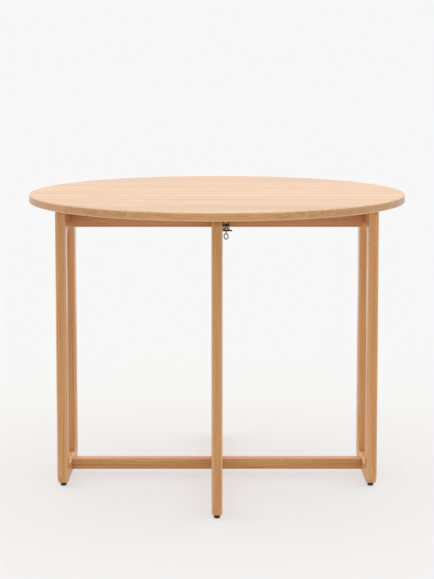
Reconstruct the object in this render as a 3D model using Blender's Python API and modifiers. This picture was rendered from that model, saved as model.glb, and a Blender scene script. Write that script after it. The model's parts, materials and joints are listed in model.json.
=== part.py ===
"""Round gateleg table: a fixed centre panel, two drop leaves and two hooped gates.

Metres, +Z up. The origin is on the floor under the middle of the top. X runs along the
apron, from one end frame to the other. The front half is modelled at -Y, and each rear
piece is the same piece turned half a turn about Z.
"""
from math import cos, pi, sin

import bmesh
import bpy
from mathutils import Matrix, Vector

# ---- overall sizes ----
TABLE_HEIGHT = 0.750
TOP_DIAMETER = 0.970
TOP_THICKNESS = 0.020
TOP_ARRIS = 0.003
CENTRE_PANEL_WIDTH = 0.400
LEAF_GAP = 0.0010            # between centre panel and leaf, so that the leaf can lift

# ---- end frames, apron and stretcher ----
FRAME_SPAN = 0.816           # outer face to outer face of the end frames, along X
FRAME_DEPTH = 0.244          # along Y
STOCK_THICKNESS = 0.026
STOCK_ARRIS = 0.0045
LEG_WIDTH = 0.044
TOP_RAIL_HEIGHT = 0.064
BOTTOM_RAIL_HEIGHT = 0.037
OUTER_CORNER_RADIUS = 0.030
INNER_CORNER_RADIUS = 0.030
APRON_HEIGHT = 0.0715
SPINE_THICKNESS = 0.026      # apron and stretcher, along Y
SPINE_ARRIS = 0.002
STRETCHER_HEIGHT = 0.028

# ---- joints in the wood ----
TENON_THICKNESS = 0.008
TENON_SHOULDER = 0.006       # wood left above and below a tenon
RAIL_TENON_LENGTH = 0.022
SPINE_TENON_LENGTH = 0.014

# ---- gates ----
GATE_REACH = 0.356           # from the middle of the table to the outer face of an open gate
PIVOT_CORNER_RADIUS = 0.006
GATE_PIN_INSET = 0.002       # pin, in from the stile's side face, so that the leg hides it

# ---- glides ----
GLIDE_HEIGHT = 0.006
GLIDE_RADIUS = 0.0078
GLIDE_INSET = 0.029          # glide centre, in from the outer face of its leg
GLIDE_NAIL_RADIUS = 0.0015
GLIDE_NAIL_LENGTH = 0.012

# ---- hinges ----
KNUCKLE_RADIUS = 0.0025
HINGE_PIN_RADIUS = 0.0012
HINGE_PLATE_THICKNESS = 0.0012
HINGE_PIN_HEAD_HEIGHT = 0.0008
LEAF_HINGE_PLATE_WIDTH = 0.022
GATE_HINGE_PLATE_WIDTH = 0.0185
HINGE_SCREW_HOLE_RADIUS = 0.0016
LEAF_HINGE_LENGTH = 0.050
LEAF_HINGE_X = 0.350         # hinge middle, out from the middle of the table
UPPER_GATE_HINGE_LENGTH = 0.050
LOWER_GATE_HINGE_LENGTH = 0.024

# ---- catch at the top of each gate ----
STRAP_THICKNESS = 0.0018
CATCH_WIDTH = 0.014          # along the gate
CATCH_DEPTH = 0.0162         # out from the face of the leg
CATCH_HEIGHT = 0.0140
CATCH_TOP_DROP = 0.0262      # case top below the underside of the leaf
CATCH_EAR_HEIGHT = 0.018
CATCH_TAB_LENGTH = 0.0060    # thumb tab at the foot of the case
CATCH_SCREW_HOLE_RADIUS = 0.0016
BOLT_RADIUS = 0.0020
BOLT_TRAVEL = 0.0025
BARREL_RADIUS = 0.0058
BARREL_SHOULDER = 0.0034     # rounding at the top of the barrel
BOLT_EYE_RADIUS = 0.0033
BOLT_EYE_THICKNESS = 0.0024
BOLT_EYE_HOLE_RADIUS = 0.0019
RING_WIRE_RADIUS = 0.0014
RING_HALF_WIDTH = 0.0047
RING_HALF_HEIGHT = 0.0066
KEEPER_TONGUE_SETBACK = 0.0016   # tongue, in from the outer face of the case
KEEPER_FLANGE_LENGTH = 0.028
KEEPER_SCREW_SHARES = (0.33, 0.80)   # of the flange length
METAL_EDGE = 0.0008          # bevel on turned pieces

# ---- clearances ----
SEAT_GAP = 0.0003            # between pieces that seat on each other
SLIDE_GAP = 0.0004           # around the catch bolt
BOLT_HOLE_GAP = 0.0012       # around the bolt in its keeper

# ---- segments ----
TOP_SEGMENTS = 144
CORNER_SEGMENTS = 6
TOP_ARRIS_SEGMENTS = 3
ROUND_SEGMENTS = 16
GLIDE_SEGMENTS = 20
RING_SEGMENTS = 24
SMALL_HOLE_SEGMENTS = 10
OVERCUT = 0.002              # how far a cutter runs past what it cuts

# ---- sizes that follow ----
UNDERSIDE = TABLE_HEIGHT - TOP_THICKNESS
FRAME_TOP = UNDERSIDE - SEAT_GAP
HINGE_LINE = CENTRE_PANEL_WIDTH / 2
KNUCKLE_STANDOFF = KNUCKLE_RADIUS + SEAT_GAP        # hinge axis to the wood under its plate
HALF_STOCK = STOCK_THICKNESS / 2
HALF_SPINE = SPINE_THICKNESS / 2
FRAME_X = FRAME_SPAN / 2 - HALF_STOCK
SPINE_HALF_LENGTH = FRAME_SPAN / 2 - STOCK_THICKNESS - SEAT_GAP
BOTTOM_RAIL_TOP = GLIDE_HEIGHT + BOTTOM_RAIL_HEIGHT
APRON_BOTTOM = FRAME_TOP - APRON_HEIGHT
STRETCHER_BOTTOM = BOTTOM_RAIL_TOP - STRETCHER_HEIGHT
SPINE_TENON_HALF_THICKNESS = TENON_THICKNESS / 2

# An open gate is on X = 0, with its hinges closed between its stile and the apron.
GATE_AXIS = Vector((-HALF_STOCK + GATE_PIN_INSET, -HALF_SPINE - KNUCKLE_STANDOFF, 0))
GATE_INNER_Y = GATE_AXIS.y - KNUCKLE_STANDOFF
GATE_OUTER_Y = -GATE_REACH
GATE_LEG_Y = GATE_OUTER_Y + LEG_WIDTH / 2
UPPER_GATE_HINGE_Z = FRAME_TOP - APRON_HEIGHT / 2
LOWER_GATE_HINGE_Z = STRETCHER_BOTTOM + STRETCHER_HEIGHT / 2
LEAF_AXIS = Vector((0, -HINGE_LINE, UNDERSIDE - KNUCKLE_STANDOFF))

CATCH_INNER_X = HALF_STOCK + SEAT_GAP
CATCH_OUTER_X = CATCH_INNER_X + CATCH_DEPTH
BOLT_X = (CATCH_INNER_X + CATCH_OUTER_X) / 2
CATCH_TOP = UNDERSIDE - CATCH_TOP_DROP
CATCH_BOTTOM = CATCH_TOP - CATCH_HEIGHT
KEEPER_TOP = UNDERSIDE - SEAT_GAP
KEEPER_FOOT = CATCH_TOP + SLIDE_GAP
BOLT_TIP = KEEPER_FOOT - SLIDE_GAP
BARREL_BOTTOM = CATCH_BOTTOM + STRAP_THICKNESS + SEAT_GAP
BARREL_TOP = CATCH_TOP - STRAP_THICKNESS - SEAT_GAP - BOLT_TRAVEL
BOLT_EYE_TOP = CATCH_BOTTOM - SLIDE_GAP - BOLT_TRAVEL
RING_AXIS = Vector((BOLT_X, GATE_LEG_Y, BOLT_EYE_TOP - BOLT_EYE_RADIUS))
BOLT_AXIS = Vector((BOLT_X, GATE_LEG_Y, BOLT_TIP))


# ---- scene, materials and placing ----

def clear_scene():
    for item in list(bpy.data.objects):
        bpy.data.objects.remove(item, do_unlink=True)


def new_collection(name):
    collection = bpy.data.collections.new(name)
    bpy.context.scene.collection.children.link(collection)
    return collection


def new_material(name, colour, roughness, metallic=0.0):
    material = bpy.data.materials.new(name)
    material.use_nodes = True
    shader = material.node_tree.nodes["Principled BSDF"]
    shader.inputs["Base Color"].default_value = (*colour, 1)
    shader.inputs["Roughness"].default_value = roughness
    shader.inputs["Metallic"].default_value = metallic
    material.diffuse_color = (*colour, 1)
    return material


def new_pivot(name, point, turned=False, parent=None):
    """An empty on a joint's axis. turned puts it at the rear, half a turn about Z."""
    pivot = bpy.data.objects.new(name, None)
    pivot.empty_display_size = 0.02
    parts.objects.link(pivot)
    world = HALF_TURN @ Matrix.Translation(point) if turned else Matrix.Translation(point)
    if parent:
        pivot.parent = parent
        pivot.matrix_parent_inverse = Matrix()
        pivot.matrix_local = parent.matrix_world.inverted() @ world
    else:
        pivot.matrix_world = world
    bpy.context.view_layer.update()
    return pivot


def place(name, mesh, colours, pivot=None, location=(0, 0, 0), turn=0.0):
    """A named object with its own copy of its material."""
    item = bpy.data.objects.new(name, mesh)
    parts.objects.link(item)
    if pivot:
        item.parent = pivot
    item.location = location
    item.rotation_euler = (0, 0, turn)
    own = new_material(name + "_finish", *colours)
    if not mesh.materials:
        mesh.materials.append(own)
    item.material_slots[0].link = "OBJECT"
    item.material_slots[0].material = own
    return item


def place_pair(front_name, rear_name, mesh, colours, origin=Vector((0, 0, 0)), pivots=None):
    """A front piece made in world coordinates, and the same piece turned to the rear."""
    mesh.transform(Matrix.Translation(-origin))
    if pivots:
        place(front_name, mesh, colours, pivots[0])
        place(rear_name, mesh, colours, pivots[1])
    else:
        place(front_name, mesh, colours, location=origin)
        place(rear_name, mesh, colours, location=(-origin.x, -origin.y, origin.z), turn=pi)


# ---- meshes ----

def mesh_from(bm, name):
    bmesh.ops.recalc_face_normals(bm, faces=bm.faces)
    mesh = bpy.data.meshes.new(name)
    bm.to_mesh(mesh)
    bm.free()
    return mesh


def box_mesh(low, high, arris=0.0, along=0):
    """A box between two corners, with the four edges along one axis rounded."""
    low, high = Vector(low), Vector(high)
    bm = bmesh.new()
    bmesh.ops.create_cube(bm, size=1)
    bmesh.ops.scale(bm, vec=high - low, verts=bm.verts)
    bmesh.ops.translate(bm, vec=(low + high) / 2, verts=bm.verts)
    if arris:
        edges = [e for e in bm.edges
                 if abs((e.verts[1].co - e.verts[0].co).normalized()[along]) > 0.9]
        bmesh.ops.bevel(bm, geom=edges, offset=arris, segments=2, profile=0.5,
                        affect="EDGES")
    return mesh_from(bm, "box")


def rod_mesh(radius, start, end, segments=ROUND_SEGMENTS):
    start, end = Vector(start), Vector(end)
    bm = bmesh.new()
    bmesh.ops.create_cone(bm, cap_ends=True, segments=segments, radius1=radius,
                          radius2=radius, depth=(end - start).length)
    turn = (end - start).to_track_quat("Z", "Y").to_matrix().to_4x4()
    turn = turn @ Matrix.Rotation(pi / segments, 4, "Z")
    bmesh.ops.transform(bm, matrix=Matrix.Translation((start + end) / 2) @ turn,
                        verts=bm.verts)
    return mesh_from(bm, "rod")


def evaluated_mesh(item):
    """The mesh that an object's modifiers make, after which the object is removed."""
    bpy.context.view_layer.update()
    graph = bpy.context.evaluated_depsgraph_get()
    mesh = bpy.data.meshes.new_from_object(item.evaluated_get(graph))
    bpy.data.objects.remove(item, do_unlink=True)
    return mesh


def carved(base, *cuts):
    """base after each (operation, mesh) Boolean in turn."""
    item = bpy.data.objects.new("carving", base.copy())
    cutters.objects.link(item)
    tools = []
    for operation, mesh in cuts:
        tool = bpy.data.objects.new("cutter", mesh)
        tool.hide_render = True
        tool.display_type = "WIRE"
        cutters.objects.link(tool)
        tools.append(tool)
        boolean = item.modifiers.new(operation.lower(), "BOOLEAN")
        boolean.operation = operation
        boolean.solver = "EXACT"
        boolean.object = tool
    mesh = evaluated_mesh(item)
    for tool in tools:
        bpy.data.objects.remove(tool, do_unlink=True)
    return mesh


def turned_mesh(profile, steps=ROUND_SEGMENTS):
    """A turned piece about Z. profile is (radius, height) from top to bottom."""
    mesh = bpy.data.meshes.new("profile")
    points = [(radius, 0, height) for radius, height in profile]
    mesh.from_pydata(points, [(i, i + 1) for i in range(len(points) - 1)], [])
    item = bpy.data.objects.new("turning", mesh)
    cutters.objects.link(item)
    screw = item.modifiers.new("turn", "SCREW")
    screw.angle = 2 * pi
    screw.steps = screw.render_steps = steps
    screw.use_merge_vertices = True
    screw.merge_threshold = 0.00001
    return evaluated_mesh(item)


def arc_corner(corner, radius, quadrant):
    """Points of a rounded corner. quadrant 0 turns from +u to +v, and so on anticlockwise."""
    u, v = corner
    inward = ((-1, -1), (1, -1), (1, 1), (-1, 1))[quadrant]
    centre = (u + inward[0] * radius, v + inward[1] * radius)
    for step in range(CORNER_SEGMENTS + 1):
        angle = pi / 2 * (quadrant + step / CORNER_SEGMENTS)
        yield centre[0] + radius * cos(angle), centre[1] + radius * sin(angle)


def rounded_outline(low, high, high_u_radius, low_u_radius):
    """A rounded rectangle, with one radius at its high-u end and one at its low-u end."""
    points = list(arc_corner((high[0], high[1]), high_u_radius, 0))
    points += arc_corner((low[0], high[1]), low_u_radius, 1)
    points += arc_corner((low[0], low[1]), low_u_radius, 2)
    points += arc_corner((high[0], low[1]), high_u_radius, 3)
    return points


def hoop_mesh(outlines, thickness, arris):
    """A flat hoop in the Y-Z plane, centred on X = 0, with rounded arrises."""
    curve = bpy.data.curves.new("hoop", "CURVE")
    curve.dimensions = "2D"
    curve.fill_mode = "BOTH"
    curve.extrude = thickness / 2 - arris
    curve.bevel_depth = arris
    curve.bevel_resolution = 1
    curve.offset = -arris
    for outline in outlines:
        spline = curve.splines.new("POLY")
        spline.points.add(len(outline) - 1)
        spline.use_cyclic_u = True
        for point, (u, v) in zip(spline.points, outline):
            point.co = (u, v, 0, 1)
    item = bpy.data.objects.new("hoop", curve)
    cutters.objects.link(item)
    mesh = evaluated_mesh(item)
    bm = bmesh.new()
    bm.from_mesh(mesh)
    bmesh.ops.remove_doubles(bm, verts=bm.verts, dist=0.00002)
    bmesh.ops.transform(bm, matrix=Matrix(((0, 0, 1, 0), (1, 0, 0, 0), (0, 1, 0, 0),
                                           (0, 0, 0, 1))), verts=bm.verts)
    return mesh_from(bm, "hoop")


# ---- the top ----

def top_disc():
    """The whole round top with its rim arrises rounded."""
    bm = bmesh.new()
    radius = TOP_DIAMETER / 2
    bmesh.ops.create_cone(bm, cap_ends=True, segments=TOP_SEGMENTS, radius1=radius,
                          radius2=radius, depth=TOP_THICKNESS)
    bmesh.ops.translate(bm, vec=(0, 0, TABLE_HEIGHT - TOP_THICKNESS / 2), verts=bm.verts)
    rims = [e for e in bm.edges if abs(e.verts[0].co.z - e.verts[1].co.z) < TOP_ARRIS]
    bmesh.ops.bevel(bm, geom=rims, offset=TOP_ARRIS, segments=TOP_ARRIS_SEGMENTS, profile=0.5,
                    affect="EDGES")
    return mesh_from(bm, "top")


def make_top(leaf_pivots):
    disc = top_disc()
    past = TOP_DIAMETER
    low_z, high_z = UNDERSIDE - OVERCUT, TABLE_HEIGHT + OVERCUT
    panel_edge = HINGE_LINE - LEAF_GAP / 2
    panel = carved(disc, ("INTERSECT", box_mesh((-past, -panel_edge, low_z),
                                                (past, panel_edge, high_z))))
    place("centre_panel", panel, OAK_TOP)
    leaf_edge = -HINGE_LINE - LEAF_GAP / 2
    leaf = carved(disc, ("INTERSECT", box_mesh((-past, -past, low_z),
                                               (past, leaf_edge, high_z))))
    place_pair("leaf_front", "leaf_rear", leaf, OAK_TOP, LEAF_AXIS, leaf_pivots)


# ---- hoops cut into members ----

def rail_heights():
    """(name, low, high) of the two rails of any hoop."""
    return (("top_rail", FRAME_TOP - TOP_RAIL_HEIGHT, FRAME_TOP),
            ("bottom_rail", GLIDE_HEIGHT, BOTTOM_RAIL_TOP))


def hoop_members(hoop, low_split, high_split, low_y, high_y, gap=SEAT_GAP):
    """Cut a hoop at two planes into a low-Y leg, a high-Y leg and two rails with tenons."""
    past_x = STOCK_THICKNESS
    half_tenon = TENON_THICKNESS / 2
    members = {}
    for side, split, end in (("low", low_split, low_y), ("high", high_split, high_y)):
        out = 1 if end > split else -1
        near, far = split + out * gap / 2, end + out * OVERCUT
        cuts = [("INTERSECT", box_mesh((-past_x, min(near, far), 0),
                                       (past_x, max(near, far), TABLE_HEIGHT)))]
        for _, low_z, high_z in rail_heights():
            bottom = split + out * (RAIL_TENON_LENGTH + gap)
            mouth = split - out * OVERCUT
            cuts.append(("DIFFERENCE", box_mesh(
                (-half_tenon - gap, min(bottom, mouth), low_z + TENON_SHOULDER - gap),
                (half_tenon + gap, max(bottom, mouth), high_z - TENON_SHOULDER + gap))))
        members[side] = carved(hoop, *cuts)
    for name, low_z, high_z in rail_heights():
        body = box_mesh((-past_x, low_split + gap / 2, low_z - OVERCUT),
                        (past_x, high_split - gap / 2, high_z + OVERCUT))
        tenon = box_mesh((-half_tenon, low_split - RAIL_TENON_LENGTH, low_z + TENON_SHOULDER),
                         (half_tenon, high_split + RAIL_TENON_LENGTH, high_z - TENON_SHOULDER))
        members[name] = carved(hoop, ("INTERSECT", body), ("UNION", tenon))
    return members


def glide_mesh():
    """A domed glide with its nail, standing on Z = 0."""
    top = GLIDE_HEIGHT - SEAT_GAP
    return turned_mesh([
        (0, top + GLIDE_NAIL_LENGTH), (GLIDE_NAIL_RADIUS, top + GLIDE_NAIL_LENGTH - METAL_EDGE),
        (GLIDE_NAIL_RADIUS, top), (GLIDE_RADIUS, top), (GLIDE_RADIUS, METAL_EDGE),
        (GLIDE_RADIUS - METAL_EDGE, 0), (0, 0)], steps=GLIDE_SEGMENTS)


def glide_hole(x, y):
    return rod_mesh(GLIDE_NAIL_RADIUS + SEAT_GAP, (x, y, 0),
                    (x, y, GLIDE_HEIGHT + GLIDE_NAIL_LENGTH + SEAT_GAP), SMALL_HOLE_SEGMENTS)


def make_end_frames():
    """The left frame in its own X, facing its inner side to +X; the right one is turned."""
    half = FRAME_DEPTH / 2
    inner = half - LEG_WIDTH
    hoop = hoop_mesh(
        [rounded_outline((-half, GLIDE_HEIGHT), (half, FRAME_TOP),
                         OUTER_CORNER_RADIUS, OUTER_CORNER_RADIUS),
         rounded_outline((-inner, BOTTOM_RAIL_TOP), (inner, FRAME_TOP - TOP_RAIL_HEIGHT),
                         INNER_CORNER_RADIUS, INNER_CORNER_RADIUS)],
        STOCK_THICKNESS, STOCK_ARRIS)
    split = inner - INNER_CORNER_RADIUS
    members = hoop_members(hoop, -split, split, -half, half)
    glide_y = half - GLIDE_INSET
    members["low"] = carved(members["low"], ("DIFFERENCE", glide_hole(0, -glide_y)))
    members["high"] = carved(members["high"], ("DIFFERENCE", glide_hole(0, glide_y)))
    for name, low_z, high_z in spine_tenons():
        mortise = box_mesh(
            (HALF_STOCK - SPINE_TENON_LENGTH, -SPINE_TENON_HALF_THICKNESS - SEAT_GAP,
             low_z - SEAT_GAP),
            (STOCK_THICKNESS, SPINE_TENON_HALF_THICKNESS + SEAT_GAP, high_z + SEAT_GAP))
        members[name] = carved(members[name], ("DIFFERENCE", mortise))
    origin = Vector((-FRAME_X, 0, 0))
    names = {"low": ("left_frame_front_leg", "right_frame_rear_leg"),
             "high": ("left_frame_rear_leg", "right_frame_front_leg"),
             "top_rail": ("left_frame_top_rail", "right_frame_top_rail"),
             "bottom_rail": ("left_frame_bottom_rail", "right_frame_bottom_rail")}
    for member, (left, right) in names.items():
        place(left, members[member], OAK_FRAME, location=origin)
        place(right, members[member], OAK_FRAME, location=-origin, turn=pi)
    glide = glide_mesh()
    for side, x in (("left", -FRAME_X), ("right", FRAME_X)):
        for end, y in (("front", -glide_y), ("rear", glide_y)):
            place(f"{side}_frame_{end}_glide", glide, DARK_GLIDE, location=(x, y, 0))


def spine_tenons():
    """(rail it enters, low, high) of the tenons on the apron and the stretcher."""
    rail_bottom = FRAME_TOP - TOP_RAIL_HEIGHT
    return (("top_rail", max(APRON_BOTTOM, rail_bottom) + 2 * TENON_SHOULDER,
             FRAME_TOP - 2 * TENON_SHOULDER),
            ("bottom_rail", STRETCHER_BOTTOM + TENON_SHOULDER,
             BOTTOM_RAIL_TOP - TENON_SHOULDER))


def make_spine():
    """The apron under the top and the stretcher near the floor."""
    bars = (("apron", APRON_BOTTOM, FRAME_TOP), ("stretcher", STRETCHER_BOTTOM, BOTTOM_RAIL_TOP))
    tenon_reach = SPINE_HALF_LENGTH + SPINE_TENON_LENGTH
    for (name, low_z, high_z), (_, tenon_low, tenon_high) in zip(bars, spine_tenons()):
        bar = box_mesh((-SPINE_HALF_LENGTH, -HALF_SPINE, low_z),
                       (SPINE_HALF_LENGTH, HALF_SPINE, high_z), SPINE_ARRIS, along=0)
        tenon = box_mesh((-tenon_reach, -SPINE_TENON_HALF_THICKNESS, tenon_low),
                         (tenon_reach, SPINE_TENON_HALF_THICKNESS, tenon_high))
        place(name, carved(bar, ("UNION", tenon)), OAK_FRAME)


def make_gates(gate_pivots):
    inner_low, inner_high = GATE_OUTER_Y + LEG_WIDTH, GATE_INNER_Y - LEG_WIDTH
    hoop = hoop_mesh(
        [rounded_outline((GATE_OUTER_Y, GLIDE_HEIGHT), (GATE_INNER_Y, FRAME_TOP),
                         PIVOT_CORNER_RADIUS, OUTER_CORNER_RADIUS),
         rounded_outline((inner_low, BOTTOM_RAIL_TOP),
                         (inner_high, FRAME_TOP - TOP_RAIL_HEIGHT),
                         INNER_CORNER_RADIUS, INNER_CORNER_RADIUS)],
        STOCK_THICKNESS, STOCK_ARRIS)
    members = hoop_members(hoop, inner_low + INNER_CORNER_RADIUS,
                           inner_high - INNER_CORNER_RADIUS, GATE_OUTER_Y, GATE_INNER_Y)
    glide_y = GATE_OUTER_Y + GLIDE_INSET
    members["low"] = carved(members["low"], ("DIFFERENCE", glide_hole(0, glide_y)))
    names = {"low": "outer_leg", "high": "pivot_stile", "top_rail": "top_rail",
             "bottom_rail": "bottom_rail"}
    for member, name in names.items():
        place_pair("gate_front_" + name, "gate_rear_" + name, members[member], OAK_FRAME,
                   GATE_AXIS, gate_pivots)
    glide = glide_mesh()
    glide.transform(Matrix.Translation((0, glide_y, 0)))
    place_pair("gate_front_glide", "gate_rear_glide", glide, DARK_GLIDE, GATE_AXIS, gate_pivots)


# ---- hinges ----

def hinge_plate_mesh(length, width, middle, wood_side):
    """One plate of a hinge whose pin is on Z, its plate along +X.

    middle gives it the middle knuckle, and otherwise it has the two end ones. wood_side is
    the sign of Y on which it lies against the wood.
    """
    half = length / 2
    sixth = length / 6
    if middle:
        notches = [(-length, -sixth + SEAT_GAP / 2), (sixth - SEAT_GAP / 2, length)]
    else:
        notches = [(-sixth - SEAT_GAP / 2, sixth + SEAT_GAP / 2)]
    outer = wood_side * KNUCKLE_RADIUS
    inner = wood_side * (KNUCKLE_RADIUS - HINGE_PLATE_THICKNESS)
    low_y, high_y = min(outer, inner), max(outer, inner)
    clear_of_knuckles = KNUCKLE_RADIUS + SEAT_GAP
    plate = box_mesh((0, low_y, -length), (width, high_y, length))
    past = length + OVERCUT
    cuts = [("UNION", rod_mesh(KNUCKLE_RADIUS, (0, 0, -past), (0, 0, past))),
            ("INTERSECT", box_mesh((-length, -length, -half), (length, length, half)))]
    for low, high in notches:
        cuts.append(("DIFFERENCE", box_mesh((-2 * KNUCKLE_RADIUS, -2 * KNUCKLE_RADIUS, low),
                                            (clear_of_knuckles, 2 * KNUCKLE_RADIUS, high))))
    cuts.append(("DIFFERENCE", rod_mesh(HINGE_PIN_RADIUS + SEAT_GAP, (0, 0, -length),
                                        (0, 0, length), SMALL_HOLE_SEGMENTS)))
    for x, z in hinge_screws(length, width):
        cuts.append(("DIFFERENCE", rod_mesh(HINGE_SCREW_HOLE_RADIUS, (x, low_y - OVERCUT, z),
                                            (x, high_y + OVERCUT, z), SMALL_HOLE_SEGMENTS)))
    return carved(plate, *cuts)


def hinge_screws(length, width):
    """Screw holes of one plate: (out from the pin, along the pin)."""
    out = (KNUCKLE_RADIUS + width) / 2
    return ((out, -length / 3), (out, length / 3))


def hinge_pin_mesh(length):
    head_radius = KNUCKLE_RADIUS - SEAT_GAP
    inner = length / 2 + SEAT_GAP
    outer = inner + HINGE_PIN_HEAD_HEIGHT
    return turned_mesh([(0, outer), (head_radius, outer), (head_radius, inner),
                        (HINGE_PIN_RADIUS, inner), (HINGE_PIN_RADIUS, -inner),
                        (head_radius, -inner), (head_radius, -outer), (0, -outer)],
                       steps=SMALL_HOLE_SEGMENTS)


def placed_mesh(mesh, x_axis, y_axis, z_axis, point):
    """Move a mesh so that its X, Y and Z run along the given directions from point."""
    turn = Matrix((x_axis, y_axis, z_axis)).transposed().to_4x4()
    mesh.transform(Matrix.Translation(point) @ turn)
    return mesh


def make_leaf_hinges(leaf_pivots):
    """Two flap hinges a leaf. They lie flat under the top, with the pin on the leaf's axis."""
    along, up = (1, 0, 0), (0, 0, 1)
    for side, other, x in (("left", "right", -LEAF_HINGE_X), ("right", "left", LEAF_HINGE_X)):
        point = LEAF_AXIS + Vector((x, 0, 0))
        names = [f"leaf_front_{side}_hinge_", f"leaf_rear_{other}_hinge_"]
        fixed = placed_mesh(
            hinge_plate_mesh(LEAF_HINGE_LENGTH, LEAF_HINGE_PLATE_WIDTH, False, 1),
            (0, 1, 0), up, along, point)
        place_pair(names[0] + "fixed_plate", names[1] + "fixed_plate", fixed, DARK_STEEL, point)
        pin = placed_mesh(hinge_pin_mesh(LEAF_HINGE_LENGTH), (0, 1, 0), up, along, point)
        place_pair(names[0] + "pin", names[1] + "pin", pin, DARK_STEEL, point)
        moving = placed_mesh(
            hinge_plate_mesh(LEAF_HINGE_LENGTH, LEAF_HINGE_PLATE_WIDTH, True, -1),
            (0, -1, 0), (0, 0, -1), along, point)
        place_pair(names[0] + "moving_plate", names[1] + "moving_plate", moving, DARK_STEEL,
                   LEAF_AXIS, leaf_pivots)


def make_gate_hinges(gate_pivots):
    """Two butt hinges a gate, one plate on the apron or stretcher and one on the stile."""
    right, back, up = (1, 0, 0), (0, 1, 0), (0, 0, 1)
    width = GATE_HINGE_PLATE_WIDTH
    for level, z, length in (("upper", UPPER_GATE_HINGE_Z, UPPER_GATE_HINGE_LENGTH),
                             ("lower", LOWER_GATE_HINGE_Z, LOWER_GATE_HINGE_LENGTH)):
        point = GATE_AXIS + Vector((0, 0, z))
        names = [f"gate_front_{level}_hinge_", f"gate_rear_{level}_hinge_"]
        fixed = placed_mesh(hinge_plate_mesh(length, width, False, 1), right, back, up, point)
        place_pair(names[0] + "fixed_plate", names[1] + "fixed_plate", fixed, DARK_STEEL, point)
        pin = placed_mesh(hinge_pin_mesh(length), right, back, up, point)
        place_pair(names[0] + "pin", names[1] + "pin", pin, DARK_STEEL, point)
        moving = placed_mesh(hinge_plate_mesh(length, width, True, -1), right, back, up, point)
        place_pair(names[0] + "moving_plate", names[1] + "moving_plate", moving, DARK_STEEL,
                   GATE_AXIS, gate_pivots)


# ---- catches ----

def catch_box(x_low, x_high, z_low, z_high):
    """A block across the width of the catch."""
    half = CATCH_WIDTH / 2
    return box_mesh((x_low, GATE_LEG_Y - half, z_low), (x_high, GATE_LEG_Y + half, z_high))


def catch_case_mesh():
    """A strap bent into a box round the barrel, with an ear up the leg and a thumb tab."""
    inner_x = CATCH_INNER_X + STRAP_THICKNESS
    ear_top = CATCH_TOP + CATCH_EAR_HEIGHT
    window = box_mesh((inner_x, -1, CATCH_BOTTOM + STRAP_THICKNESS),
                      (CATCH_OUTER_X - STRAP_THICKNESS, 0, CATCH_TOP - STRAP_THICKNESS))
    cuts = [("UNION", catch_box(CATCH_INNER_X, inner_x, CATCH_TOP - OVERCUT, ear_top)),
            ("UNION", catch_box(BOLT_X, CATCH_OUTER_X + CATCH_TAB_LENGTH, CATCH_BOTTOM,
                                CATCH_BOTTOM + STRAP_THICKNESS)),
            ("DIFFERENCE", window),
            ("DIFFERENCE", rod_mesh(BOLT_RADIUS + SLIDE_GAP,
                                    (BOLT_X, GATE_LEG_Y, CATCH_BOTTOM - OVERCUT),
                                    (BOLT_X, GATE_LEG_Y, CATCH_TOP + OVERCUT)))]
    screw_z = CATCH_TOP + CATCH_EAR_HEIGHT / 2
    cuts.append(("DIFFERENCE", rod_mesh(CATCH_SCREW_HOLE_RADIUS,
                                        (CATCH_INNER_X - OVERCUT, GATE_LEG_Y, screw_z),
                                        (inner_x + OVERCUT, GATE_LEG_Y, screw_z),
                                        SMALL_HOLE_SEGMENTS)))
    return carved(catch_box(CATCH_INNER_X, CATCH_OUTER_X, CATCH_BOTTOM, CATCH_TOP), *cuts)


def catch_bolt_mesh():
    """The bolt drawn back: its rod, the barrel in the case and the eye for the ring."""
    dome = [(BARREL_RADIUS - BARREL_SHOULDER * (1 - cos(angle)),
             BARREL_TOP - BARREL_SHOULDER * (1 - sin(angle)))
            for angle in (pi / 2 * step / CORNER_SEGMENTS
                          for step in range(CORNER_SEGMENTS, -1, -1))]
    rod = turned_mesh([
        (0, BOLT_TIP), (BOLT_RADIUS - METAL_EDGE, BOLT_TIP),
        (BOLT_RADIUS, BOLT_TIP - METAL_EDGE), (BOLT_RADIUS, BARREL_TOP), *dome,
        (BARREL_RADIUS, BARREL_BOTTOM + METAL_EDGE),
        (BARREL_RADIUS - METAL_EDGE, BARREL_BOTTOM), (BOLT_RADIUS, BARREL_BOTTOM),
        (BOLT_RADIUS, BOLT_EYE_TOP - METAL_EDGE), (0, BOLT_EYE_TOP - METAL_EDGE)])
    rod.transform(Matrix.Translation((BOLT_X, GATE_LEG_Y, 0)))
    half_x = Vector((BOLT_EYE_THICKNESS / 2, 0, 0))
    eye = rod_mesh(BOLT_EYE_RADIUS, RING_AXIS - half_x, RING_AXIS + half_x)
    across = Vector((BARREL_RADIUS, 0, 0))
    hole = rod_mesh(BOLT_EYE_HOLE_RADIUS, RING_AXIS - across, RING_AXIS + across)
    return carved(rod, ("UNION", eye), ("DIFFERENCE", hole))


def pull_ring_mesh():
    """An oval wire ring that hangs through the bolt's eye, in the plane across the gate."""
    curve = bpy.data.curves.new("ring", "CURVE")
    curve.dimensions = "3D"
    curve.bevel_depth = RING_WIRE_RADIUS
    curve.bevel_resolution = 2
    spline = curve.splines.new("POLY")
    spline.points.add(RING_SEGMENTS - 1)
    spline.use_cyclic_u = True
    middle = RING_AXIS - Vector((0, 0, RING_HALF_HEIGHT))
    for step, point in enumerate(spline.points):
        angle = 2 * pi * step / RING_SEGMENTS
        point.co = (middle.x + RING_HALF_WIDTH * sin(angle), middle.y,
                    middle.z + RING_HALF_HEIGHT * cos(angle), 1)
    item = bpy.data.objects.new("ring", curve)
    cutters.objects.link(item)
    mesh = evaluated_mesh(item)
    bm = bmesh.new()
    bm.from_mesh(mesh)
    bmesh.ops.remove_doubles(bm, verts=bm.verts, dist=0.00001)
    return mesh_from(bm, "ring")


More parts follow.
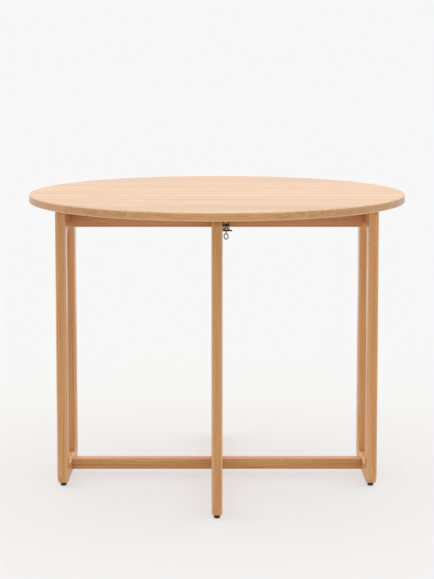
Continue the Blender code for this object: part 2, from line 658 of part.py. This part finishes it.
def keeper_mesh():
    """A bent strap: a flange under the leaf, a tongue, and a foot that takes the bolt."""
    tongue_high = CATCH_OUTER_X - KEEPER_TONGUE_SETBACK
    tongue_low = tongue_high - STRAP_THICKNESS
    flange_high = tongue_high + KEEPER_FLANGE_LENGTH
    flange_bottom = KEEPER_TOP - STRAP_THICKNESS
    foot_low = BOLT_X - BOLT_RADIUS - BOLT_HOLE_GAP - STRAP_THICKNESS
    foot_top = KEEPER_FOOT + STRAP_THICKNESS
    cuts = [("UNION", catch_box(tongue_low, tongue_high, KEEPER_FOOT, KEEPER_TOP)),
            ("UNION", catch_box(foot_low, tongue_high, KEEPER_FOOT, foot_top)),
            ("DIFFERENCE", rod_mesh(BOLT_RADIUS + BOLT_HOLE_GAP,
                                    (BOLT_X, GATE_LEG_Y, KEEPER_FOOT - OVERCUT),
                                    (BOLT_X, GATE_LEG_Y, foot_top + OVERCUT)))]
    for share in KEEPER_SCREW_SHARES:
        x = tongue_high + share * KEEPER_FLANGE_LENGTH
        cuts.append(("DIFFERENCE", rod_mesh(CATCH_SCREW_HOLE_RADIUS,
                                            (x, GATE_LEG_Y, flange_bottom - OVERCUT),
                                            (x, GATE_LEG_Y, KEEPER_TOP + OVERCUT),
                                            SMALL_HOLE_SEGMENTS)))
    return carved(catch_box(tongue_low, flange_high, flange_bottom, KEEPER_TOP), *cuts)


def make_catches(gate_pivots, leaf_pivots, bolt_pivots, ring_pivots):
    place_pair("catch_front_case", "catch_rear_case", catch_case_mesh(), DARK_STEEL,
               GATE_AXIS, gate_pivots)
    place_pair("catch_front_bolt", "catch_rear_bolt", catch_bolt_mesh(), BRASS,
               BOLT_AXIS, bolt_pivots)
    place_pair("catch_front_ring", "catch_rear_ring", pull_ring_mesh(), NICKEL,
               RING_AXIS, ring_pivots)
    place_pair("catch_front_keeper", "catch_rear_keeper", keeper_mesh(), DARK_STEEL,
               LEAF_AXIS, leaf_pivots)


# ---- finishes: base colour, roughness, metallic ----
OAK_TOP = ((0.76, 0.50, 0.30), 0.45, 0.0)
OAK_FRAME = ((0.46, 0.22, 0.10), 0.45, 0.0)
DARK_GLIDE = ((0.02, 0.012, 0.008), 0.6, 0.0)
DARK_STEEL = ((0.035, 0.028, 0.022), 0.4, 1.0)
BRASS = ((0.62, 0.48, 0.28), 0.3, 1.0)
NICKEL = ((0.55, 0.53, 0.48), 0.25, 1.0)

HALF_TURN = Matrix.Rotation(pi, 4, "Z")

clear_scene()
parts = new_collection("gateleg_table")
cutters = new_collection("cutters")
gates = [new_pivot("gate_front_pivot", GATE_AXIS), new_pivot("gate_rear_pivot", GATE_AXIS, True)]
leaves = [new_pivot("leaf_front_pivot", LEAF_AXIS), new_pivot("leaf_rear_pivot", LEAF_AXIS, True)]
bolts = [new_pivot("bolt_front_pivot", BOLT_AXIS, False, gates[0]),
         new_pivot("bolt_rear_pivot", BOLT_AXIS, True, gates[1])]
rings = [new_pivot("ring_front_pivot", RING_AXIS, False, bolts[0]),
         new_pivot("ring_rear_pivot", RING_AXIS, True, bolts[1])]
make_top(leaves)
make_end_frames()
make_spine()
make_gates(gates)
make_leaf_hinges(leaves)
make_gate_hinges(gates)
make_catches(gates, leaves, bolts, rings)
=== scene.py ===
"""Round oak gateleg table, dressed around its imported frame. Metres, +Z up."""
import json
from math import pi, radians, sin, cos

import bmesh
import bpy
from mathutils import Matrix, Vector

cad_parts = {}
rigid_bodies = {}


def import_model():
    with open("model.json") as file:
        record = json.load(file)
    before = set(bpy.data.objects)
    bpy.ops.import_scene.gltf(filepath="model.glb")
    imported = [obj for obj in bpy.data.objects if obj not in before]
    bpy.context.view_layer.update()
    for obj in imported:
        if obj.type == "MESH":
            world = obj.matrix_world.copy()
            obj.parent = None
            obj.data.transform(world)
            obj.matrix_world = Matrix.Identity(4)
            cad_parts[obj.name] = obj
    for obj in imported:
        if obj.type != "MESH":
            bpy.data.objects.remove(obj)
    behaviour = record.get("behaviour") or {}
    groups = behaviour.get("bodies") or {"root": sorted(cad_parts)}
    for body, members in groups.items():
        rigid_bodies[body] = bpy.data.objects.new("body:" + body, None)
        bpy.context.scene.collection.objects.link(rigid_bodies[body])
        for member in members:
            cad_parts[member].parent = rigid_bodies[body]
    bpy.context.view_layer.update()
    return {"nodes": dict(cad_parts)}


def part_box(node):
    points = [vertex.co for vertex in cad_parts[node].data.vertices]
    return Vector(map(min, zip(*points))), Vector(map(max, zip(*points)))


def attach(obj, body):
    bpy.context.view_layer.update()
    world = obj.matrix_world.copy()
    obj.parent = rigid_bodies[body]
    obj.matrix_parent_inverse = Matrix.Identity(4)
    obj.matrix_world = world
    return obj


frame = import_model()

# ---- view: square to the front from above the top, pitched down a little, long lens ----
CAMERA_DISTANCE = 3.2211
CAMERA_HEIGHT = 1.0644
CAMERA_PITCH = radians(4.0)
CAMERA_LENS = 77.085
CAMERA_SHIFT_Y = -0.2281
SENSOR_WIDTH = 36

# ---- oak, in linear colour ----
OAK_LIGHT = (0.80, 0.425, 0.160)
OAK_MID = (0.60, 0.275, 0.085)
OAK_DARK = (0.29, 0.100, 0.025)
OAK_KNOT = (0.13, 0.045, 0.014)
# the arrises' colour: a painted highlight, with sanded paler wood under it
OAK_ARRIS_WEAR_AND_HIGHLIGHT = (0.86, 0.56, 0.29)
OAK_BLUSH = (0.62, 0.25, 0.10)

# ---- oak's figure: stretches are (along, across, through) the grain ----
SEED_SHIFT = (1.7, 0.031, 0.017)    # metres that one seed moves the figure by
DRIFT_STRETCH = (1.1, 7.0, 7.0)
DRIFT_REACH = 0.055                 # how far the growth rings bend along a board
HEART_DEPTH = 0.09                  # how far the middle of the rings is from the face
RING_SCALE = 62.0
STREAK_STRETCH = (3.0, 160.0, 160.0)
BAND_STRETCH = (0.8, 26.0, 26.0)
PORE_STRETCH = (55.0, 1500.0, 1500.0)
BLUSH_STRETCH = (2.2, 30.0, 30.0)
RING_STRENGTH = 0.42
BAND_STRENGTH = 0.40
BLUSH_STRENGTH = 0.30
# strength of the arrises' painted highlight and sanded paleness
ARRIS_WEAR_AND_HIGHLIGHT_STRENGTH = 0.55
END_GRAIN_STRENGTH = {"top": 0.88, "frame": 0.55}
PORE_STRENGTH = 0.42
SEAM_STRENGTH = 0.40

# ---- lacquer: specular level, coat, the coat's roughness, and the wood's lowest roughness ----
LACQUER = {"top": (0.50, 0.30, 0.22, 0.26), "frame": (0.40, 0.20, 0.28, 0.36)}
ROUGHNESS_SPREAD = 0.15
TOP_REDNESS = 0.90
TONE_LOW, TONE_SPREAD = 0.90, 0.16  # of the frame's members

# ---- the top's boards ----
TOP_NODES = ("centre_panel", "leaf_front", "leaf_rear")
TOP_SEED = 2
# glue lines on Y; the joints of the leaves are gaps between CAD nodes
STAVE_EDGES = (-0.438, -0.328, -0.118, -0.037, 0.082, 0.276, 0.375)
GLUE_LINE = 0.0007                  # half the width of a glue line
STAVE_TONES = (0.86, 1.08)
STAVE_SHIFT = (2.37, 0.21)          # metres along and through the grain, from board to board
KNOTS = ((0.316, 0.053, 0.007), (0.205, 0.150, 0.005),      # x, y and radius
         (-0.240, 0.290, 0.006), (-0.120, -0.345, 0.005))

# ---- metals: colour, colour where worn, and roughness ----
BRONZE = ((0.030, 0.022, 0.016), (0.12, 0.09, 0.06), 0.45)
BRASS = ((0.66, 0.51, 0.31), (0.76, 0.63, 0.42), 0.62)
NICKEL = ((0.30, 0.28, 0.21), (0.46, 0.43, 0.34), 0.34)
STEEL = ((0.06, 0.045, 0.033), (0.20, 0.15, 0.10), 0.36)
BRASS_METALLIC = 0.35               # lacquered brass, which shows its colour in dim light
PLASTIC = (0.020, 0.011, 0.007)
PLASTIC_DUST = (0.09, 0.07, 0.055)


# ---- node helpers ----

class Nodes:
    """Short calls for building the nodes of a material or a world."""

    def __init__(self, owner):
        owner.use_nodes = True
        self.nodes = owner.node_tree.nodes
        self.links = owner.node_tree.links

    def put(self, socket, value):
        if isinstance(value, bpy.types.NodeSocket):
            self.links.new(value, socket)
        else:
            socket.default_value = value

    def add(self, kind, inputs=None, out=0, **settings):
        node = self.nodes.new(kind)
        for name, value in settings.items():
            setattr(node, name, value)
        for key, value in (inputs or {}).items():
            self.put(node.inputs[key], value)
        return node.outputs[out]

    def math(self, operation, a, b=0.0):
        return self.add("ShaderNodeMath", {0: a, 1: b}, operation=operation)


class Tree(Nodes):
    """Short calls for building a material."""

    def __init__(self, name):
        self.material = bpy.data.materials.new(name)
        super().__init__(self.material)
        self.shader = self.nodes["Principled BSDF"]

    def mix(self, factor, a, b, blend="MIX"):
        node = self.nodes.new("ShaderNodeMix")
        node.data_type = "RGBA"
        node.blend_type = blend
        self.put(node.inputs["Factor"], factor)
        for socket, value in ((node.inputs[6], a), (node.inputs[7], b)):
            self.put(socket, value if isinstance(value, bpy.types.NodeSocket) else (*value, 1))
        return node.outputs[2]

    def lay(self, colour, mask, strength, other):
        """The colour, with another laid over it by a mask and a strength."""
        return self.mix(self.math("MULTIPLY", mask, strength), colour, other)

    def ramp(self, factor, low, high):
        """0 below low, 1 above high."""
        return self.add("ShaderNodeMapRange", {"Value": factor, "From Min": low, "From Max": high})

    def noise(self, vector, scale, detail=3.0, roughness=0.55):
        return self.add("ShaderNodeTexNoise", {"Vector": vector, "Scale": scale,
                                               "Detail": detail, "Roughness": roughness})

    def stretch(self, vector, scale):
        return self.add("ShaderNodeVectorMath", {0: vector, 1: scale}, operation="MULTIPLY")

    def finish(self, base, roughness, height, bump, distance):
        self.put(self.shader.inputs["Base Color"], base)
        self.put(self.shader.inputs["Roughness"], roughness)
        normal = self.add("ShaderNodeBump", {"Strength": bump, "Distance": distance,
                                             "Height": height})
        self.links.new(normal, self.shader.inputs["Normal"])
        return self.material


def grain_coordinates(tree, axis, seed):
    """Rest position along, across and through the grain, each moved by a seed, and plain y."""
    split = tree.add("ShaderNodeSeparateXYZ", {0: tree.add("ShaderNodeTexCoord", out=3)})
    x, y, z = split.node.outputs
    along, across, through = {"X": (x, y, z), "Y": (y, x, z), "Z": (z, x, y)}[axis]
    moved = [tree.math("ADD", value, shift * seed)
             for value, shift in zip((along, across, through), SEED_SHIFT)]
    return (*moved, y)


def staves(tree, y, seed):
    """(board number, board's chance value, glue-line mask) of a top glued up from boards."""
    index, seam = 0.0, 0.0
    for edge in STAVE_EDGES:
        index = tree.math("ADD", tree.math("GREATER_THAN", y, edge), index)
        away = tree.math("ABSOLUTE", tree.math("SUBTRACT", y, edge))
        seam = tree.math("MAXIMUM", tree.ramp(away, GLUE_LINE, 0.0), seam)
    chance = tree.add("ShaderNodeTexWhiteNoise", {"W": tree.math("ADD", index, 0.5 + seed)},
                      noise_dimensions="1D")
    return index, chance, seam


def figure(tree, along, across, through):
    """(colour, streaks, pores) of oak, from its place along, across and through the grain."""
    place = tree.add("ShaderNodeCombineXYZ", {0: along, 1: across, 2: through})
    # slow drift bends the growth rings along the board
    drift = tree.noise(tree.stretch(place, DRIFT_STRETCH), 1.0, 2.0)
    bent = tree.math("MULTIPLY", tree.math("SUBTRACT", drift, 0.5), DRIFT_REACH)
    ringed = tree.add("ShaderNodeCombineXYZ", {
        0: 0.0, 1: tree.math("ADD", across, bent), 2: tree.math("ADD", through, HEART_DEPTH)})
    rings = tree.add("ShaderNodeTexWave", {
        "Vector": ringed, "Scale": RING_SCALE, "Distortion": 1.2, "Detail": 2.0,
        "Detail Scale": 0.6}, out=1, wave_type="RINGS", rings_direction="X",
        wave_profile="SAW")
    streaks = tree.noise(tree.stretch(place, STREAK_STRETCH), 1.0, 4.0, 0.6)
    bands = tree.noise(tree.stretch(place, BAND_STRETCH), 1.0, 2.0, 0.5)
    pores = tree.ramp(tree.noise(tree.stretch(place, PORE_STRETCH), 1.0, 2.0, 0.5), 0.57, 0.68)
    colour = tree.mix(tree.ramp(streaks, 0.34, 0.68), OAK_LIGHT, OAK_MID)
    colour = tree.lay(colour, tree.ramp(rings, 0.35, 1.0), RING_STRENGTH, OAK_DARK)
    colour = tree.lay(colour, tree.ramp(bands, 0.48, 0.80), BAND_STRENGTH, OAK_DARK)
    # warmer and yellower patches, a hand's width long
    blush = tree.noise(tree.stretch(place, BLUSH_STRETCH), 1.0, 1.0)
    colour = tree.lay(colour, tree.ramp(blush, 0.35, 0.70), BLUSH_STRENGTH, OAK_BLUSH)
    return colour, streaks, pores


def oak(name, axis, seed, face, tone=1.0, part="frame", redness=1.0, knots=()):
    """Lacquered oak. The top's part is made up from boards along X, each with its own tone.

    face is the axis that its flat sides face, between which run the arrises, sanded paler and
    given a painted highlight.
    """
    tree = Tree(name)
    along, across, through, y = grain_coordinates(tree, axis, seed)
    shade, seam = tone, None
    if part == "top":
        index, chance, seam = staves(tree, y, seed)
        along = tree.math("ADD", along, tree.math("MULTIPLY", index, STAVE_SHIFT[0]))
        through = tree.math("ADD", through, tree.math("MULTIPLY", chance, STAVE_SHIFT[1]))
        shade = tree.add("ShaderNodeMapRange", {"Value": chance, "To Min": STAVE_TONES[0] * tone,
                                                "To Max": STAVE_TONES[1] * tone})
    colour, streaks, pores = figure(tree, along, across, through)
    level = tree.add("ShaderNodeCombineXYZ", {
        0: tree.math("MULTIPLY", shade, redness), 1: shade, 2: shade})
    colour = tree.mix(1.0, colour, level, "MULTIPLY")
    normal = tree.add("ShaderNodeSeparateXYZ", {0: tree.add("ShaderNodeTexCoord", out=1)})
    facing = normal.node.outputs
    # painted highlight on the arrises, standing in for the light of the floor and the side lamps,
    # over sanded arrises rubbed paler
    slant = tree.math("ABSOLUTE", facing["XYZ".index(face)])
    rubbed_and_highlit = tree.math("MULTIPLY", tree.math("MULTIPLY", slant, 4.0),
                       tree.math("SUBTRACT", 1.0, slant))
    colour = tree.lay(colour, rubbed_and_highlit, ARRIS_WEAR_AND_HIGHLIGHT_STRENGTH, OAK_ARRIS_WEAR_AND_HIGHLIGHT)
    # end grain drinks more lacquer
    end_grain = tree.math("POWER", tree.math("ABSOLUTE", facing["XYZ".index(axis)]), 3.0)
    colour = tree.lay(colour, end_grain, END_GRAIN_STRENGTH[part], OAK_DARK)
    colour = tree.lay(colour, pores, PORE_STRENGTH, OAK_DARK)
    for centre, radius in knots:
        colour = tree.mix(knot_mask(tree, centre, radius), colour, OAK_KNOT)
    if seam is not None:
        colour = tree.lay(colour, seam, SEAM_STRENGTH, OAK_DARK)
    *gloss, low = LACQUER[part]
    rough = tree.add("ShaderNodeMapRange", {"Value": streaks, "To Min": low,
                                            "To Max": low + ROUGHNESS_SPREAD})
    height = tree.math("SUBTRACT", streaks, tree.math("MULTIPLY", pores, 0.8))
    for socket, value in zip(("Specular IOR Level", "Coat Weight", "Coat Roughness"), gloss):
        tree.shader.inputs[socket].default_value = value
    return tree.finish(colour, rough, height, bump=0.10, distance=0.0005)


def knot_mask(tree, centre, radius):
    """1 at a knot's heart, with a ragged edge drawn out along the grain."""
    position = tree.add("ShaderNodeTexCoord", out=3)
    gap = tree.add("ShaderNodeVectorMath", {0: position, 1: centre}, operation="SUBTRACT")
    gap = tree.stretch(gap, (0.55, 1.0, 0.2))
    far = tree.add("ShaderNodeVectorMath", {0: gap}, out=1, operation="LENGTH")
    ragged = tree.math("MULTIPLY", tree.noise(position, 320.0, 3.0), radius)
    away = tree.math("ADD", far, tree.math("SUBTRACT", ragged, radius * 0.5))
    return tree.math("MULTIPLY", tree.ramp(away, radius, radius * 0.35), 0.8)


def metal(name, finish, seed, metallic=1.0):
    """Plated or bronzed metal, rubbed through here and there."""
    colour, worn, roughness = finish
    tree = Tree(name)
    position = tree.add("ShaderNodeTexCoord", out=3)
    moved = tree.add("ShaderNodeVectorMath", {0: position, 1: (seed, 0, 0)}, operation="ADD")
    cloud = tree.noise(moved, 180.0, 4.0)
    fine = tree.noise(moved, 1600.0, 3.0)
    base = tree.lay(colour, tree.ramp(cloud, 0.52, 0.74), 0.6, worn)
    rough = tree.add("ShaderNodeMapRange", {"Value": cloud, "To Min": roughness - 0.08,
                                            "To Max": roughness + 0.14})
    tree.shader.inputs["Metallic"].default_value = metallic
    return tree.finish(base, rough, fine, bump=0.10, distance=0.0002)


def moulded(name, seed):
    """Dark moulded plastic with dust in its fine texture."""
    tree = Tree(name)
    position = tree.add("ShaderNodeTexCoord", out=3)
    fine = tree.noise(position, 2200.0, 2.0)
    dust = tree.ramp(tree.noise(position, 240.0 + seed), 0.5, 0.8)
    base = tree.lay(PLASTIC, dust, 0.35, PLASTIC_DUST)
    return tree.finish(base, 0.55, fine, bump=0.2, distance=0.0002)


# ---- finishes of the CAD nodes ----

def finish_for(node, seed):
    """The right material for a CAD node, by its name."""
    low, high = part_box(node)
    sides = high - low
    if node in TOP_NODES:
        knots = [((x, y, high.z), radius) for x, y, radius in KNOTS]
        return oak(node + "_oak", "X", TOP_SEED, face="Z", part="top", redness=TOP_REDNESS,
                   knots=knots)
    if "glide" in node:
        return moulded(node + "_plastic", seed)
    if "hinge" in node or node.endswith(("case", "keeper")):
        return metal(node + "_bronze", BRONZE, seed)
    if node.endswith("bolt"):
        return metal(node + "_brass", BRASS, seed, BRASS_METALLIC)
    if node.endswith("ring"):
        return metal(node + "_nickel", NICKEL, seed)
    longest = max(range(3), key=lambda side: sides[side])
    tone = TONE_LOW + TONE_SPREAD * ((seed * 7) % 5) / 4
    face = "Z" if node in ("apron", "stretcher") else "X"
    return oak(node + "_oak", "XYZ"[longest], seed, face, tone)


# ---- smooth shading of the CAD nodes ----
SHARP_ANGLE = radians(38)
JOIN_DISTANCE = 1e-6


def joined_group():
    """Joins the split corners of a CAD mesh, and shades it smooth but for its real edges."""
    group = bpy.data.node_groups.new("joined_corners", "GeometryNodeTree")
    for way in ("INPUT", "OUTPUT"):
        group.interface.new_socket("Geometry", in_out=way, socket_type="NodeSocketGeometry")
    start, end, merge, faces, edges, angle, sharp = (group.nodes.new(kind) for kind in (
        "NodeGroupInput", "NodeGroupOutput", "GeometryNodeMergeByDistance",
        "GeometryNodeSetShadeSmooth", "GeometryNodeSetShadeSmooth",
        "GeometryNodeInputMeshEdgeAngle", "FunctionNodeCompare"))
    merge.inputs["Distance"].default_value = JOIN_DISTANCE
    edges.domain = "EDGE"
    edges.inputs["Shade Smooth"].default_value = False
    sharp.operation = "GREATER_THAN"
    sharp.inputs["B"].default_value = SHARP_ANGLE
    for source, target in ((start.outputs[0], merge.inputs["Geometry"]),
                           (merge.outputs[0], faces.inputs["Geometry"]),
                           (faces.outputs[0], edges.inputs["Geometry"]),
                           (angle.outputs["Unsigned Angle"], sharp.inputs["A"]),
                           (sharp.outputs[0], edges.inputs["Selection"]),
                           (edges.outputs[0], end.inputs[0])):
        group.links.new(source, target)
    return group


joined = joined_group()
for seed, (node, item) in enumerate(sorted(frame["nodes"].items())):
    item.data.materials.clear()
    item.data.materials.append(finish_for(node, seed))
    if "custom_normal" in item.data.attributes:
        item.data.attributes.remove(item.data.attributes["custom_normal"])
    item.modifiers.new("joined", "NODES").node_group = joined
    item.modifiers.new("flat_faces", "WEIGHTED_NORMAL").keep_sharp = True


# ---- wood screws ----
SCREW_RINGS = 9
SCREW_SIDES = 28
SCREW_RADIUS = 0.0026
SCREW_HEAD = 0.00045
CATCH_SCREW_HEAD = 0.0004
SCREW_SHANK = 0.0018
SCREW_SHARP_ANGLE = radians(45)
# the cross recess, as shares of the radius and of the head's height
CROSS_WIDTH, CROSS_REACH, CROSS_DEPTH = 0.13, 0.60, 0.9
# widths and depths below the head's edge, as shares of the radius
SCREW_UNDERSIDE = ((0.98, 0.12), (0.55, 0.45))
SHANK_WIDTH = 0.50


def screw_mesh(head):
    """A raised countersunk head with a cross recess, on +Z, closed under by a short shank."""
    bm = bmesh.new()
    radius = SCREW_RADIUS
    turns = [2 * pi * side / SCREW_SIDES for side in range(SCREW_SIDES)]
    layers = []
    for ring in range(1, SCREW_RINGS + 1):
        share = ring / SCREW_RINGS
        layer = []
        for angle in turns:
            u, v = share * cos(angle), share * sin(angle)
            cross = min(abs(u), abs(v)) < CROSS_WIDTH and max(abs(u), abs(v)) < CROSS_REACH
            height = head * (1 - share * share) - (CROSS_DEPTH * head if cross else 0)
            layer.append(bm.verts.new((radius * u, radius * v, height)))
        layers.append(layer)
    under = [(radius * width, -depth * radius) for width, depth in SCREW_UNDERSIDE]
    for width, height in (*under, (radius * SHANK_WIDTH, -SCREW_SHANK)):
        layers.append([bm.verts.new((width * cos(angle), width * sin(angle), height))
                       for angle in turns])
    middle = bm.verts.new((0, 0, (1 - CROSS_DEPTH) * head))
    foot = bm.verts.new((0, 0, -SCREW_SHANK))
    for side in range(SCREW_SIDES):
        after = (side + 1) % SCREW_SIDES
        bm.faces.new((middle, layers[0][side], layers[0][after]))
        for inner, outer in zip(layers, layers[1:]):
            bm.faces.new((inner[side], outer[side], outer[after], inner[after]))
        bm.faces.new((layers[-1][after], layers[-1][side], foot))
    bmesh.ops.recalc_face_normals(bm, faces=bm.faces)
    mesh = bpy.data.meshes.new("screw")
    bm.to_mesh(mesh)
    bm.free()
    mesh.shade_smooth()
    mesh.set_sharp_from_angle(angle=SCREW_SHARP_ANGLE)
    return mesh


def screw(name, body, point, facing, turn, head=SCREW_HEAD):
    """One screw whose head faces along facing, its recess turned by turn radians."""
    mesh = screw_mesh(head)
    aim = Vector(facing).to_track_quat("Z", "Y").to_matrix().to_4x4()
    mesh.transform(Matrix.Translation(point) @ aim @ Matrix.Rotation(turn, 4, "Z"))
    mesh.materials.append(metal(name + "_steel", STEEL, turn))
    item = bpy.data.objects.new(name, mesh)
    bpy.context.scene.collection.objects.link(item)
    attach(item, body)


# ---- sizes of the hardware, as in the part ----
KNUCKLE_RADIUS = 0.0025             # a hinge plate is flat beyond its knuckles
HINGE_PLATE_THICKNESS = 0.0012
STRAP_THICKNESS = 0.0018            # of the catch's case and keeper
EAR_DROP = 0.009                    # from the top of the case to the middle of its ear
KEEPER_FLANGE_LENGTH = 0.028
KEEPER_SCREW_SHARES = (0.33, 0.80)  # of the flange's length


def dress_hinges():
    """Two screws in each plate of the leaf hinges, from below."""
    for end, sign in (("front", -1), ("rear", 1)):
        for side in ("left", "right"):
            for plate, body, out in (("fixed_plate", "frame", -sign),
                                     ("moving_plate", f"{end}_leaf", sign)):
                node = f"leaf_{end}_{side}_hinge_{plate}"
                low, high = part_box(node)
                length = high.x - low.x
                pin = low.y + KNUCKLE_RADIUS if out > 0 else high.y - KNUCKLE_RADIUS
                far = high.y if out > 0 else low.y
                y = (pin + out * KNUCKLE_RADIUS + far) / 2
                z = high.z - HINGE_PLATE_THICKNESS
                for letter, turn, share in (("a", 0.4, -1 / 3), ("b", 1.1, 1 / 3)):
                    x = (low.x + high.x) / 2 + share * length
                    screw(f"{node}_screw_{letter}", body, (x, y, z), (0, 0, -1), turn)


def dress_catches():
    """One screw in the ear of each catch's case, and two in its keeper's flange."""
    for end, out in (("front", 1), ("rear", -1)):
        low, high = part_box(f"catch_{end}_case")
        middle = (low + high) / 2
        wall = low.x if out > 0 else high.x
        screw(f"catch_{end}_case_screw", f"{end}_gate",
              (wall + out * STRAP_THICKNESS, middle.y, high.z - EAR_DROP), (out, 0, 0), 0.7,
              head=CATCH_SCREW_HEAD)
        low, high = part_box(f"catch_{end}_keeper")
        root = (high.x - KEEPER_FLANGE_LENGTH) if out > 0 else (low.x + KEEPER_FLANGE_LENGTH)
        for number, share in enumerate(KEEPER_SCREW_SHARES):
            x = root + out * share * KEEPER_FLANGE_LENGTH
            screw(f"catch_{end}_keeper_screw_{number + 1}", f"{end}_leaf",
                  (x, middle.y, high.z - STRAP_THICKNESS), (0, 0, -1), 0.3 + number)


dress_hinges()
dress_catches()


# ---- floor, light and camera ----
BACKDROP = 0.936              # radiance of the world's horizon, and of the open floor
FLOOR_ALBEDO = 0.30
BAND = (0.16, 0.30)           # how high the even horizon reaches, as the sine of elevation
DIM = 0.20                    # world above the band, before the soft boxes painted on it
# the axis that each faces down, where it starts and is full, and its radiance
SOFT_BOXES = (("X", 0.35, 0.85, 1.25), ("Z", 0.50, 0.95, 1.10), ("Y", 0.15, 0.80, 0.50))
SKY_ROWS = 60                       # steps that the sky is summed in, for the floor
FLOOR_SIZE = 200
FLOOR_DROP = 0.0002                 # below the glides, so that no faces coincide
WHITE = (1, 1, 1)
WARM = (1, 0.97, 0.93)
WARMER = (1, 0.95, 0.84)


def smoothstep(low, high, value):
    share = min(max((value - low) / (high - low), 0), 1)
    return share * share * (3 - 2 * share)


def world_radiance(x, y, z):
    """The same sum as the world's nodes, for one direction."""
    part = {"X": abs(x), "Y": y, "Z": z}
    boxes = DIM + sum(gain * smoothstep(low, high, part[axis])
                      for axis, low, high, gain in SOFT_BOXES)
    rise = smoothstep(*BAND, z)
    return BACKDROP * (1 - rise) + boxes * rise


def floor_light():
    """The world's mean radiance as an open floor sees it."""
    total = weight = 0.0
    for row in range(SKY_ROWS):
        z = (row + 0.5) / SKY_ROWS
        flat = (1 - z * z) ** 0.5
        for column in range(2 * SKY_ROWS):
            turn = pi * (column + 0.5) / SKY_ROWS
            total += z * world_radiance(flat * cos(turn), flat * sin(turn), z)
            weight += z
    return total / weight


def world():
    """An even horizon all round, with soft boxes at the sides, overhead and behind."""
    item = bpy.data.worlds.new("studio")
    sky = Nodes(item)
    split = sky.nodes.new("ShaderNodeSeparateXYZ")
    sky.put(split.inputs[0], sky.nodes.new("ShaderNodeTexCoord").outputs["Generated"])

    def step(value, low, high, gain):
        return sky.add("ShaderNodeMapRange", {"Value": value, "From Min": low, "From Max": high,
                                              "To Max": gain}, interpolation_type="SMOOTHSTEP")

    boxes = DIM
    for axis, low, high, gain in SOFT_BOXES:
        value = split.outputs[axis]
        if axis == "X":
            value = sky.math("ABSOLUTE", value)
        boxes = sky.math("ADD", step(value, low, high, gain), boxes)
    rise = step(split.outputs["Z"], *BAND, 1.0)
    above = sky.math("MULTIPLY", boxes, rise)
    horizon = sky.add("ShaderNodeMath", {0: rise, 1: -BACKDROP, 2: BACKDROP},
                      operation="MULTIPLY_ADD")
    background = sky.nodes["Background"]
    background.inputs["Color"].default_value = (*WHITE, 1)
    sky.put(background.inputs["Strength"], sky.math("ADD", horizon, above))
    bpy.context.scene.world = item


def studio():
    """A floor that is as bright as the horizon where nothing shades it, so it has no edge."""
    floor_mesh = bpy.data.meshes.new("floor")
    bm = bmesh.new()
    bmesh.ops.create_grid(bm, x_segments=1, y_segments=1, size=FLOOR_SIZE)
    bm.to_mesh(floor_mesh)
    bm.free()
    floor = bpy.data.objects.new("floor", floor_mesh)
    floor.location.z = -FLOOR_DROP
    bpy.context.scene.collection.objects.link(floor)
    tree = Tree("pale_floor")
    glow = BACKDROP - FLOOR_ALBEDO * floor_light()
    for socket, value in (("Base Color", (FLOOR_ALBEDO,) * 3 + (1,)), ("Roughness", 0.9),
                          ("Specular IOR Level", 0.0), ("Emission Color", (*WHITE, 1)),
                          ("Emission Strength", glow)):
        tree.shader.inputs[socket].default_value = value
    floor_mesh.materials.append(tree.material)
    return floor


def lit_set(name, floor, skip=()):
    """The pieces that one set of lamps lights. The floor keeps the world's even light."""
    lit = bpy.data.collections.new(name)
    for item in bpy.context.scene.objects:
        if item.type == "MESH" and item is not floor and item.name not in skip:
            lit.objects.link(item)
    return lit


def lamps(floor):
    """Softboxes: one overhead, one each side, and a low one behind for the frame's sheen."""
    table = lit_set("lit_table", floor)
    under = lit_set("lit_frame", floor, skip=TOP_NODES)
    for name, place, target, size, power, colour, lit in (
            ("overhead", (0.0, 0.4, 3.3), (0, 0, 0.7), (2.2, 2.2), 24, WARMER, table),
            ("back", (0.0, 3.4, 1.9), (0, 0, 0.6), (4.0, 1.8), 5, WHITE, table),
            ("left", (-3.2, 0.5, 1.2), (0, 0, 0.4), (1.6, 1.8), 17, WARM, table),
            ("right", (3.2, 0.5, 1.2), (0, 0, 0.4), (1.6, 1.8), 13, WARM, table),
            ("low_back", (0.0, 1.9, 0.6), (0, 0, 0.55), (2.6, 1.1), 7, WHITE, under)):
        light = bpy.data.lights.new(name, "AREA")
        light.shape = "RECTANGLE"
        light.size, light.size_y = size
        light.energy = power
        light.color = colour
        lamp = bpy.data.objects.new(name, light)
        lamp.location = place
        lamp.rotation_euler = (Vector(target) - Vector(place)).to_track_quat("-Z", "Y").to_euler()
        lamp.visible_camera = False
        # seen in gloss, the side lamps blow out the top from the side
        lamp.visible_glossy = name not in ("left", "right")
        lamp.light_linking.receiver_collection = lit
        bpy.context.scene.collection.objects.link(lamp)


def camera():
    data = bpy.data.cameras.new("camera")
    data.lens = CAMERA_LENS
    data.sensor_width = SENSOR_WIDTH
    data.shift_y = CAMERA_SHIFT_Y
    item = bpy.data.objects.new("camera", data)
    item.location = (0, -CAMERA_DISTANCE, CAMERA_HEIGHT)
    item.rotation_euler = (pi / 2 - CAMERA_PITCH, 0, 0)
    bpy.context.scene.collection.objects.link(item)
    bpy.context.scene.camera = item


world()
lamps(studio())
camera()
bpy.context.scene.view_settings.view_transform = "Standard"
